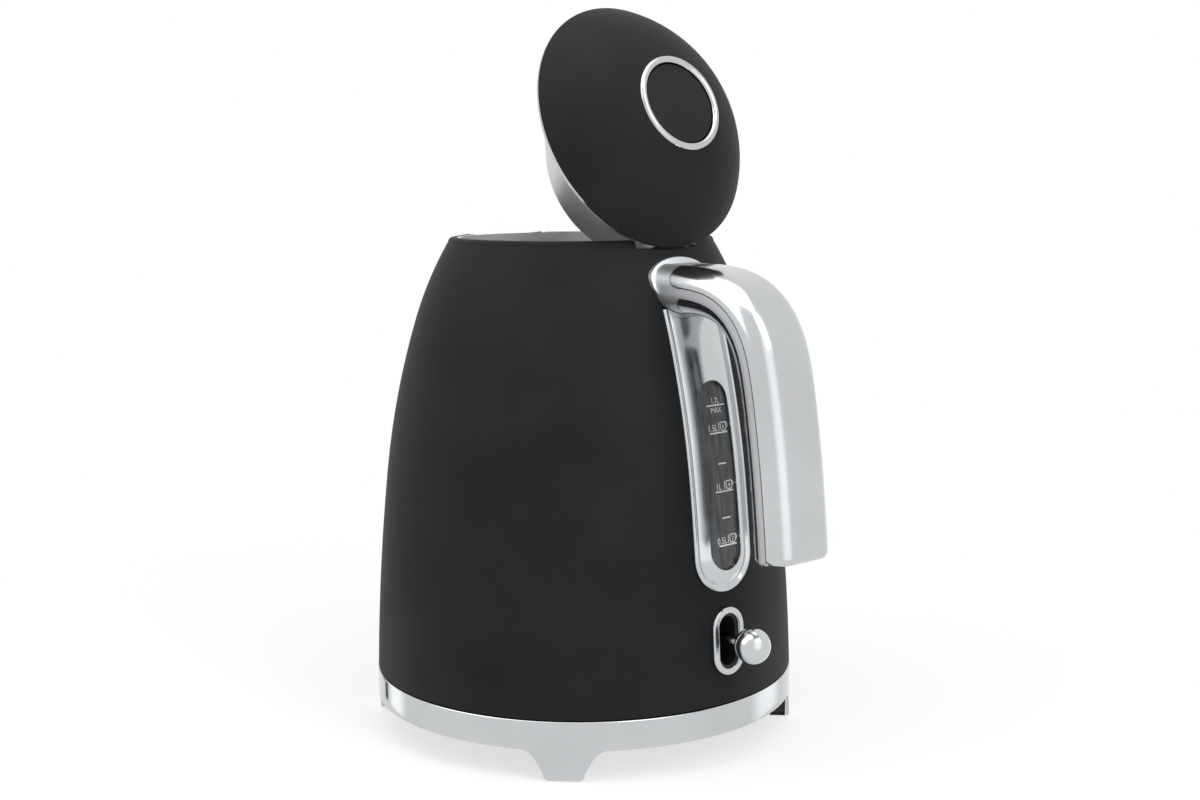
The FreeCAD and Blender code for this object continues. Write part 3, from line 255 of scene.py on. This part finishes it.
# Stainless sheet, spun: fine rings round the axis that draw out the highlight
SPUN_STEEL = Finish(
    "stainless_steel_spun", Surface.SATIN, colour="D2D3D3", shade="C8C9CA", metallic=1.0,
    roughness=0.44, spread=0.04, grain_mm=0.6, relief_mm=0.0015, stretch=(0.25, 0.25, 3.0))
# Powder coat on steel: soft satin black with a fine pebbled skin
COAT = Finish(
    "powder_coated_steel", Surface.COATED, colour="1D1D1E", shade="18181A", specular=0.1,
    roughness=0.58, spread=0.05, grain_mm=0.9, relief_mm=0.012)
# The body's steel is coated outside only: the same black, with bare spun steel within
BODY_COAT = replace(COAT, name="powder_coated_steel_bare_inside", inside=SPUN_STEEL)
# Chrome on steel, polished: bright grey mirror with a faint haze from wiping
CHROME = Finish(
    "chrome_plated_steel_polished", Surface.POLISHED, colour="C4C6C8", shade="BDBFC1", metallic=1.0,
    roughness=0.11, spread=0.02)
# Chrome on zinc, buffed: as bright, with soft-edged reflections
BUFFED_CHROME = Finish(
    "chrome_plated_zinc_buffed", Surface.POLISHED, colour="C8CACC", shade="C1C3C5", metallic=1.0,
    roughness=0.17, spread=0.025)
# Chrome over a bead-blasted casting: soft, even sheen
SATIN_CHROME = Finish(
    "chrome_plated_zinc_satin", Surface.SATIN, colour="C6C8CA", shade="BDBFC1", metallic=1.0,
    roughness=0.46, spread=0.04, grain_mm=0.5, relief_mm=0.002)
# Polypropylene, moulded in a spark-eroded tool: dull black with a fine grain
BLACK_MOULDING = Finish(
    "polypropylene_moulded", Surface.MOULDED, colour="1A1A1B", shade="131314",
    roughness=0.55, spread=0.08, grain_mm=0.8, relief_mm=0.02)
# ABS with a soft-touch lacquer: the button, near the body's own black
BUTTON_BLACK = Finish(
    "abs_lacquered", Surface.MOULDED, colour="1C1C1D", shade="181819", specular=0.13,
    roughness=0.54, spread=0.05, grain_mm=0.9, relief_mm=0.01)
# Smoked acrylic, polished: clear and dark; the pale and dark upright streaks in its colour are painted
# reflections of the studio on the curved window
SMOKED_ACRYLIC = Finish(
    "acrylic_smoked", Surface.CLEAR, colour="85888B", shade="3A3C3E", ior=1.49, transmission=0.65,
    roughness=0.08, spread=0.04, grain_mm=2.2, stretch=(1.0, 1.0, 0.04))
# Silicone, moulded: milky and dull
SILICONE = Finish(
    "silicone_moulded", Surface.MOULDED, colour="D2D2CE", shade="C6C6C2", ior=1.41,
    roughness=0.6, spread=0.08, grain_mm=1.5, relief_mm=0.01)
# Thermoplastic rubber, moulded: flat black with a slight bloom
RUBBER = Finish(
    "rubber_moulded", Surface.MOULDED, colour="1D1D1D", shade="151515", specular=0.3,
    roughness=0.8, spread=0.08, grain_mm=1.0, relief_mm=0.03)
# Brass, turned: warm and bright with tool rings
BRASS = Finish(
    "brass_turned", Surface.SATIN, colour="C9A24C", shade="B58F40", metallic=1.0,
    roughness=0.22, spread=0.06, grain_mm=0.7, relief_mm=0.004, stretch=(0.3, 0.3, 3.0))
# Aluminium, rolled: pale grey with fine lines the way it went through the rollers
ALUMINIUM = Finish(
    "aluminium_rolled", Surface.SATIN, colour="C8CACC", shade="B6B9BC", metallic=1.0,
    roughness=0.35, spread=0.07, grain_mm=1.0, relief_mm=0.006, stretch=(0.2, 3.0, 1.0))
# Zinc-plated steel, machined: grey with a dull glint
SCREW_STEEL = Finish(
    "steel_zinc_plated", Surface.SATIN, colour="A9ABAE", shade="94979B", metallic=1.0,
    roughness=0.32, spread=0.08, grain_mm=0.6, relief_mm=0.006)
# White pad-print ink: flat and slightly uneven where the pad lifted
INK = Finish(
    "pad_print_ink", Surface.PRINTED, colour="F4F4F2", shade="E6E6E4",
    roughness=0.6, spread=0.05, grain_mm=0.5)


@dataclass
class SubAssembly:
    """A group of pieces that are dressed together."""

    dress_list: dict[str, Finish] = field(default_factory=dict)

    def build(self) -> list[bpy.types.Object]:
        """Make the group's own meshes; most groups have none.

        Returns:
            The new pieces.
        """
        return []

    def dress(self) -> None:
        """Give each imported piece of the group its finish."""
        for node, finish in self.dress_list.items():
            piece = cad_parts[node]
            piece.data.materials.clear()
            piece.data.materials.append(finish.material())
            LOG.info("%s wears %s", node, finish.name)


@dataclass
class PowerBase(SubAssembly):
    """Footed ring, tray, gland and both halves of the power connector."""

    dress_list: dict[str, Finish] = field(default_factory=lambda: {
        "base_ring": CHROME, "base_tray": BLACK_MOULDING, "foot_blocks": BLACK_MOULDING,
        "foot_pads": RUBBER, "base_bottom_plate": BLACK_MOULDING, "base_screws": SCREW_STEEL,
        "cord_gland": RUBBER, "connector_plug": BLACK_MOULDING, "contact_ring": BRASS,
        "contact_sleeve": BRASS, "connector_socket": BLACK_MOULDING, "connector_pin": BRASS})


@dataclass
class Vessel(SubAssembly):
    """Body shell with its spout, mouth, floor and heater."""

    dress_list: dict[str, Finish] = field(default_factory=lambda: {
        "body_shell": BODY_COAT, "spout": COAT, "collar": SPUN_STEEL, "hinge_bracket": SPUN_STEEL,
        "hinge_pin": SCREW_STEEL, "filter_frame": BLACK_MOULDING, "filter_mesh": SPUN_STEEL,
        "heater_plate": SPUN_STEEL, "heat_diffuser": ALUMINIUM, "heating_element": SPUN_STEEL,
        "control_unit": BLACK_MOULDING, "bottom_cover": BLACK_MOULDING, "cover_screws": SCREW_STEEL,
        "steam_tube": SPUN_STEEL})


@dataclass
class Handle(SubAssembly):
    """Layered handle on its root."""

    dress_list: dict[str, Finish] = field(default_factory=lambda: {
        "handle_frame": SATIN_CHROME, "handle_outer_cover": BUFFED_CHROME,
        "handle_inner_cover": BUFFED_CHROME, "handle_screws": SCREW_STEEL})


@dataclass
class Switch(SubAssembly):
    """Lever switch in its oval bezel."""

    dress_list: dict[str, Finish] = field(default_factory=lambda: {
        "switch_bezel": BUFFED_CHROME, "switch_housing": BLACK_MOULDING, "switch_pivot_pin": SCREW_STEEL,
        "switch_lever": BUFFED_CHROME, "switch_knob": BUFFED_CHROME})


@dataclass
class Lid(SubAssembly):
    """Domed lid with its liner and push button."""

    dress_list: dict[str, Finish] = field(default_factory=lambda: {
        "lid_dome": COAT, "lid_rim_ring": CHROME, "lid_liner": SPUN_STEEL, "lid_seal": SILICONE,
        "lid_hinge_arm": SPUN_STEEL, "lid_button_ring": CHROME, "button_guide": BLACK_MOULDING,
        "button_spring": SCREW_STEEL, "lid_button": BUTTON_BLACK})


@dataclass
class LevelGauge(SubAssembly):
    """Window frame, window and the white level marks printed on it.

    Places across run to the reader's right from the middle of the marks, and heights from the floor.
    The cup's side is in shares of its half width and height, and its ear in shares of its height.
    """

    body: str = "kettle"
    dress_list: dict[str, Finish] = field(default_factory=lambda: {
        "gauge_frame": BUFFED_CHROME, "gauge_window": SMOKED_ACRYLIC, "gauge_gasket": SILICONE})
    line_heights: dict[str, float] = field(default_factory=lambda: {
        "1.7L": 144.2 * MM, "1.5L": 133.4 * MM, "1L": 110.3 * MM, "0.5L": 88.9 * MM})
    cups: dict[str, str] = field(default_factory=lambda: {"1.5L": "6", "1L": "4", "0.5L": "2"})
    ticks: tuple[float, float] = (121.3 * MM, 99.8 * MM)
    middle: float = 2.3 * MM
    line_half: float = 5.0 * MM
    tick_half: float = 2.2 * MM
    line_steps: int = 8
    stroke: float = 0.55 * MM
    hairline: float = 0.36 * MM
    mitre_limit: float = 0.5
    clear: float = 0.45 * MM
    label_tall: float = 2.6 * MM
    limit_tall: float = 2.3 * MM
    count_tall: float = 1.9 * MM
    letter_width: float = 0.84
    letter_steps: int = 3
    cap_share: float = 0.7
    label_at: float = -3.1 * MM
    divider_at: float = 0.25 * MM
    cup_at: float = 2.8 * MM
    cup_wide: float = 3.2 * MM
    cup_tall: float = 3.2 * MM
    cup_side: tuple[tuple[float, float], ...] = ((0.5, 0.0), (0.8, 0.08), (1.0, 0.3), (1.0, 1.0))
    ear_radius: float = 0.26
    ear_rise: float = 0.62
    ear_steps: int = 8
    ink_lift: float = 0.06 * MM
    well_outside: float = 200.0 * MM
    pane: BVHTree | None = field(default=None, init=False)

    def build(self) -> list[bpy.types.Object]:
        """Print the lines, volumes and cup counts on the window.

        Returns:
            The printed marks, one piece for each level.
        """
        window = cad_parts["gauge_window"].data
        self.pane = BVHTree.FromPolygons([v.co for v in window.vertices],
                                         [p.vertices for p in window.polygons])
        made = []
        for label, height in self.line_heights.items():
            ink = bmesh.new()
            self._bar(ink, height, self.line_half)
            foot = height + self.stroke / 2 + self.clear
            if label in self.cups:
                self._text(ink, label, self.label_at, foot, self.label_tall)
                self._strokes(ink, [(self.divider_at, foot), (self.divider_at, foot + self.cup_tall)])
                self._cup(ink, foot, self.cups[label])
            else:
                self._text(ink, label, 0.0, foot, self.limit_tall)
                self._text(ink, "MAX", 0.0, 2 * height - foot - self.limit_tall, self.limit_tall)
            made.append(self._piece("level_mark_" + label.replace(".", "_"), ink))
        for i, height in enumerate(self.ticks):
            ink = bmesh.new()
            self._bar(ink, height, self.tick_half)
            made.append(self._piece("level_tick_" + str(i), ink))
        return made

    def _bar(self, ink: bmesh.types.BMesh, height: float, half: float) -> None:
        """Add a level line, in steps so that it follows the curved window.

        Args:
            ink: the mesh that gets the line, flat in side and height.
            height: the line's level.
            half: half its length.
        """
        low, high = height - self.stroke / 2, height + self.stroke / 2
        spots = [-half + 2 * half * i / self.line_steps for i in range(self.line_steps + 1)]
        pairs = [(ink.verts.new((y, low, 0)), ink.verts.new((y, high, 0))) for y in spots]
        for a, b in zip(pairs, pairs[1:]):
            ink.faces.new((a[0], b[0], b[1], a[1]))

    def _text(self, ink: bmesh.types.BMesh, words: str, across: float, foot: float, tall: float) -> None:
        """Add narrow lettering centred on a column.

        Args:
            ink: the mesh that gets the letters.
            words: the letters.
            across: the column's place, to the reader's right of the middle.
            foot: level of the letters' feet.
            tall: height of a capital.
        """
        curve = bpy.data.curves.new("lettering", "FONT")
        curve.body = words
        curve.size = tall / self.cap_share
        curve.align_x = "CENTER"
        curve.resolution_u = self.letter_steps
        holder = bpy.data.objects.new("lettering", curve)
        bpy.context.collection.objects.link(holder)
        shaped = holder.evaluated_get(bpy.context.evaluated_depsgraph_get())
        flat = bpy.data.meshes.new_from_object(shaped)
        narrow = Matrix.Diagonal((self.letter_width, 1, 1, 1))
        flat.transform(Matrix.Translation((across, foot, 0)) @ narrow)
        ink.from_mesh(flat)
        bpy.data.objects.remove(holder)
        bpy.data.curves.remove(curve)
        bpy.data.meshes.remove(flat)

    def _strokes(self, ink: bmesh.types.BMesh, path: list[tuple[float, float]]) -> None:
        """Add a thin line along a path, mitred at its corners.

        Args:
            ink: the mesh that gets the line.
            path: points of the line, across and up.
        """
        spots = [Vector(p) for p in path]
        rows = []
        for i, spot in enumerate(spots):
            before = (spot - spots[i - 1]).normalized() if i else (spots[1] - spot).normalized()
            after = (spots[i + 1] - spot).normalized() if i + 1 < len(spots) else before
            along = (before + after).normalized()
            mitre = max(self.mitre_limit, along.dot(before))
            out = Vector((-along.y, along.x)) * self.hairline / 2 / mitre
            rows.append([ink.verts.new((*(spot + out * sign), 0)) for sign in (1, -1)])
        for a, b in zip(rows, rows[1:]):
            ink.faces.new((a[0], b[0], b[1], a[1]))

    def _cup(self, ink: bmesh.types.BMesh, foot: float, count: str) -> None:
        """Add a cup outline with its ear, and its count inside.

        Args:
            ink: the mesh that gets the cup.
            foot: level of the cup's foot.
            count: number of cups.
        """
        half = self.cup_wide / 2
        shape = [(-x, z) for x, z in reversed(self.cup_side)] + list(self.cup_side)
        outline = [(self.cup_at + x * half, foot + z * self.cup_tall) for x, z in shape]
        self._strokes(ink, outline)
        self._strokes(ink, [outline[0], outline[-1]])
        radius = self.cup_tall * self.ear_radius
        ear = []
        for i in range(self.ear_steps + 1):
            angle = math.pi * (i / self.ear_steps - 0.5)
            ear.append((self.cup_at + half + radius * math.cos(angle),
                        foot + self.cup_tall * self.ear_rise + radius * math.sin(angle)))
        self._strokes(ink, ear)
        self._text(ink, count, self.cup_at, foot + (self.cup_tall - self.count_tall) / 2, self.count_tall)

    def _piece(self, name: str, ink: bmesh.types.BMesh) -> bpy.types.Object:
        """Wrap flat ink on the window and make it a piece.

        Args:
            name: the piece's name.
            ink: flat mesh with side in X and height in Y.

        Returns:
            The printed piece, riding on the kettle.
        """
        bmesh.ops.triangulate(ink, faces=ink.faces)
        for vert in ink.verts:
            across, height = vert.co.x + self.middle, vert.co.y
            start = Vector((self.well_outside, across, height))
            spot = self.pane.ray_cast(start, Vector((-1, 0, 0)))[0]
            vert.co = (spot.x + self.ink_lift, across, height)
        bmesh.ops.recalc_face_normals(ink, faces=ink.faces)
        for face in ink.faces:
            if face.normal.x < 0:
                face.normal_flip()
        mesh = bpy.data.meshes.new(name)
        ink.to_mesh(mesh)
        ink.free()
        mesh.materials.append(INK.material())
        piece = bpy.data.objects.new(name, mesh)
        bpy.context.collection.objects.link(piece)
        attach(piece, self.body)
        return piece


@dataclass(frozen=True)
class Lamp:
    """A softbox that faces the object, at an angle to the camera's right and one above the floor."""

    name: str
    side_deg: float
    rise_deg: float
    reach: float
    wide: float
    tall: float
    watts: float


@dataclass(frozen=True)
class Card:
    """A studio card out of the picture that only shows as a reflection in bright metal.

    Its middle is at an angle to the camera's right, and it spreads to either side of that.
    """

    name: str
    side_deg: float
    spread_deg: float
    reach: float
    tall: float
    glow: float
    fade: float = 0.6
    steps: int = 12

    def shine(self, share: float) -> float:
        """Give the brightness along the card, which falls off to plain white at its ends.

        Args:
            share: how far along the card, from nought to one.

        Returns:
            The strength of its light there.
        """
        from_end = 1 - abs(2 * share - 1)
        return 1 + (self.glow - 1) * (min(1.0, from_end / self.fade) if self.fade else 1.0)


@dataclass
class Studio:
    """Floor, lamps, cards and camera, with the camera's pitch and roll in radians."""

    handle_deg: float = 40.3
    distance: float = 701.1 * MM
    height: float = 236.6 * MM
    aside: float = -7.77 * MM
    pitch: float = 0.1394
    roll: float = 0.0067
    lens: float = 48.97
    sensor: float = 36.0
    grey_light: float = 0.45
    paper: str = "F2F2F2"
    paper_roughness: float = 0.9
    floor_half: float = 6.0
    shadow_near: float = 0.14
    shadow_far: float = 0.42
    shadow_glow: float = 0.7
    lamps: tuple[Lamp, ...] = (
        Lamp("key_softbox", side_deg=-72.0, rise_deg=42.0, reach=1.5, wide=1.1, tall=1.4, watts=10.0),
        Lamp("fill_softbox", side_deg=42.0, rise_deg=30.0, reach=1.6, wide=0.8, tall=1.5, watts=16.0),
        Lamp("top_softbox", side_deg=5.0, rise_deg=84.0, reach=1.5, wide=1.3, tall=1.3, watts=10.0))
    cards: tuple[Card, ...] = (
        Card("front_silk", side_deg=30.0, spread_deg=24.0, reach=0.58, tall=0.45, glow=1.45),
        Card("left_board", side_deg=-79.5, spread_deg=8.5, reach=0.115, tall=0.05, glow=1.6),
        Card("left_tape", side_deg=-91.5, spread_deg=2.0, reach=0.115, tall=0.05, glow=0.02, fade=0.0),
        Card("right_board", side_deg=76.0, spread_deg=12.0, reach=0.115, tall=0.05, glow=1.5))

    def build(self) -> None:
        """Set the whole stage."""
        bpy.context.scene.view_settings.view_transform = "Standard"
        self._camera()
        self._world()
        self._floor()
        for lamp in self.lamps:
            self._lamp(lamp)
        for card in self.cards:
            self._card(card)

    def _axes(self) -> tuple[Vector, Vector]:
        """Give the camera's sideways and level forward directions."""
        turn = math.radians(self.handle_deg)
        return Vector((math.sin(turn), math.cos(turn), 0)), Vector((-math.cos(turn), math.sin(turn), 0))

    def _towards(self, side_deg: float) -> Vector:
        """Give a level direction out from the object.

        Args:
            side_deg: angle to the camera's right.

        Returns:
            The direction, which is towards the camera at nought degrees.
        """
        side, level = self._axes()
        turn = math.radians(side_deg)
        return side * math.sin(turn) - level * math.cos(turn)

    def _camera(self) -> None:
        """Place the camera where the photograph was taken from."""
        side, level = self._axes()
        up = Vector((0, 0, 1))
        look = level * math.cos(self.pitch) - up * math.sin(self.pitch)
        lift = level * math.sin(self.pitch) + up * math.cos(self.pitch)
        right = side * math.cos(self.roll) - lift * math.sin(self.roll)
        above = side * math.sin(self.roll) + lift * math.cos(self.roll)
        spot = -level * self.distance - side * self.aside + up * self.height
        camera = bpy.data.objects.new("camera", bpy.data.cameras.new("camera"))
        camera.data.lens = self.lens
        camera.data.sensor_width = self.sensor
        turned = Matrix((right, above, -look)).transposed().to_4x4()
        camera.matrix_world = Matrix.Translation(spot) @ turned
        bpy.context.collection.objects.link(camera)
        bpy.context.scene.camera = camera

    def _seen(self, tree: bpy.types.NodeTree) -> bpy.types.Node:
        """Add the test for rays from the eye, from metal and through glass.

        Args:
            tree: the tree that gets the test.

        Returns:
            A node whose output is one for those rays.
        """
        path = add_node(tree, "ShaderNodeLightPath")
        mirrored = add_node(tree, "ShaderNodeMath", {"operation": "MAXIMUM"},
                            links={0: path.outputs["Is Glossy Ray"], 1: path.outputs["Is Transmission Ray"]})
        return add_node(tree, "ShaderNodeMath", {"operation": "MAXIMUM"},
                        links={0: path.outputs["Is Camera Ray"], 1: mirrored.outputs[0]})

    def _world(self) -> None:
        """White to the eye, to metal and to glass; a plain grey light for the rest."""
        world = bpy.data.worlds.new("studio")
        bpy.context.scene.world = world
        world.use_nodes = True
        tree = world.node_tree
        tree.nodes.clear()
        seen = self._seen(tree)
        white = add_node(tree, "ShaderNodeBackground", values={"Color": linear(WHITE), "Strength": 1.0})
        soft = add_node(tree, "ShaderNodeBackground",
                        values={"Color": linear(WHITE), "Strength": self.grey_light})
        mixed = add_node(tree, "ShaderNodeMixShader",
                         links={0: seen.outputs[0], 1: soft.outputs[0], 2: white.outputs[0]})
        add_node(tree, "ShaderNodeOutputWorld", links={"Surface": mixed.outputs[0]})

    def _floor(self) -> None:
        """Lay a white floor that keeps the shadow under the feet."""
        made = bpy.data.materials.new("studio_paper")
        made.use_nodes = True
        tree = made.node_tree
        shader = tree.nodes["Principled BSDF"]
        shader.inputs["Base Color"].default_value = linear(self.paper)
        shader.inputs["Roughness"].default_value = self.paper_roughness
        place = add_node(tree, "ShaderNodeTexCoord")
        reach = add_node(tree, "ShaderNodeVectorMath", {"operation": "LENGTH"},
                         links={0: place.outputs["Object"]})
        clear = add_node(tree, "ShaderNodeMapRange",
                         values={"From Min": self.shadow_near, "From Max": self.shadow_far,
                                 "To Min": self.shadow_glow, "To Max": 1.0},
                         links={"Value": reach.outputs["Value"]})
        seen = self._seen(tree)
        share = add_node(tree, "ShaderNodeMath", {"operation": "MULTIPLY"},
                         links={0: seen.outputs[0], 1: clear.outputs["Result"]})
        glow = add_node(tree, "ShaderNodeEmission", values={"Color": linear(WHITE), "Strength": 1.0})
        mixed = add_node(tree, "ShaderNodeMixShader",
                         links={0: share.outputs[0], 1: shader.outputs[0], 2: glow.outputs[0]})
        tree.links.new(mixed.outputs[0], tree.nodes["Material Output"].inputs["Surface"])
        ends = (-self.floor_half, self.floor_half)
        self._sheet("floor", [Vector((x, y, 0)) for y in ends for x in ends], made)

    def _sheet(self, name: str, corners: list[Vector], material: bpy.types.Material) -> bpy.types.Object:
        """Make one stage sheet from rungs of two corners each.

        Args:
            name: the sheet's name.
            corners: its corners, two for each rung.
            material: what it is made of.

        Returns:
            The sheet.
        """
        mesh = bpy.data.meshes.new(name)
        faces = [(i, i + 1, i + 3, i + 2) for i in range(0, len(corners) - 2, 2)]
        mesh.from_pydata([tuple(c) for c in corners], [], faces)
        mesh.materials.append(material)
        sheet = bpy.data.objects.new(name, mesh)
        bpy.context.collection.objects.link(sheet)
        return sheet

    def _lamp(self, lamp: Lamp) -> None:
        """Hang one softbox that faces the object at half the camera's height.

        Args:
            lamp: its place, size and power.
        """
        light = bpy.data.lights.new(lamp.name, "AREA")
        light.shape = "RECTANGLE"
        light.size, light.size_y = lamp.wide, lamp.tall
        light.energy = lamp.watts
        hung = bpy.data.objects.new(lamp.name, light)
        middle = Vector((0, 0, self.height / 2))
        rise = math.radians(lamp.rise_deg)
        way = self._towards(lamp.side_deg) * math.cos(rise) + Vector((0, 0, math.sin(rise)))
        hung.location = middle + way * lamp.reach
        aim = middle - hung.location
        hung.rotation_euler = aim.to_track_quat("-Z", "Y").to_euler()
        bpy.context.collection.objects.link(hung)

    def _card(self, card: Card) -> None:
        """Stand one card on the floor, on a bent strip round the object.

        Args:
            card: its place and size, and how brightly it shows.
        """
        made = bpy.data.materials.new(card.name)
        made.use_nodes = True
        tree = made.node_tree
        tree.nodes.clear()
        shine = add_node(tree, "ShaderNodeVertexColor", {"layer_name": "shine"})
        glow = add_node(tree, "ShaderNodeEmission", values={"Strength": 1.0},
                        links={"Color": shine.outputs["Color"]})
        add_node(tree, "ShaderNodeOutputMaterial", links={"Surface": glow.outputs[0]})
        corners, levels = [], []
        for i in range(card.steps + 1):
            share = i / card.steps
            foot = self._towards(card.side_deg + card.spread_deg * (2 * share - 1)) * card.reach
            corners += [foot, foot + Vector((0, 0, card.tall))]
            levels += [card.shine(share)] * 2
        sheet = self._sheet(card.name, corners, made)
        layer = sheet.data.color_attributes.new("shine", "FLOAT_COLOR", "POINT")
        for spot, strength in zip(layer.data, levels):
            spot.color = (strength, strength, strength, 1.0)
        sheet.visible_camera = False
        sheet.visible_diffuse = False
        sheet.visible_transmission = False
        sheet.visible_shadow = False


def main() -> None:
    """Build the studio and each sub-assembly in order."""
    logging.basicConfig(level=logging.INFO, format="%(message)s")
    Studio().build()
    for group in (PowerBase(), Vessel(), LevelGauge(), Handle(), Switch(), Lid()):
        for piece in group.build():
            LOG.info("built %s", piece.name)
        group.dress()
    bpy.context.view_layer.update()


if __name__ == "__main__":
    main()
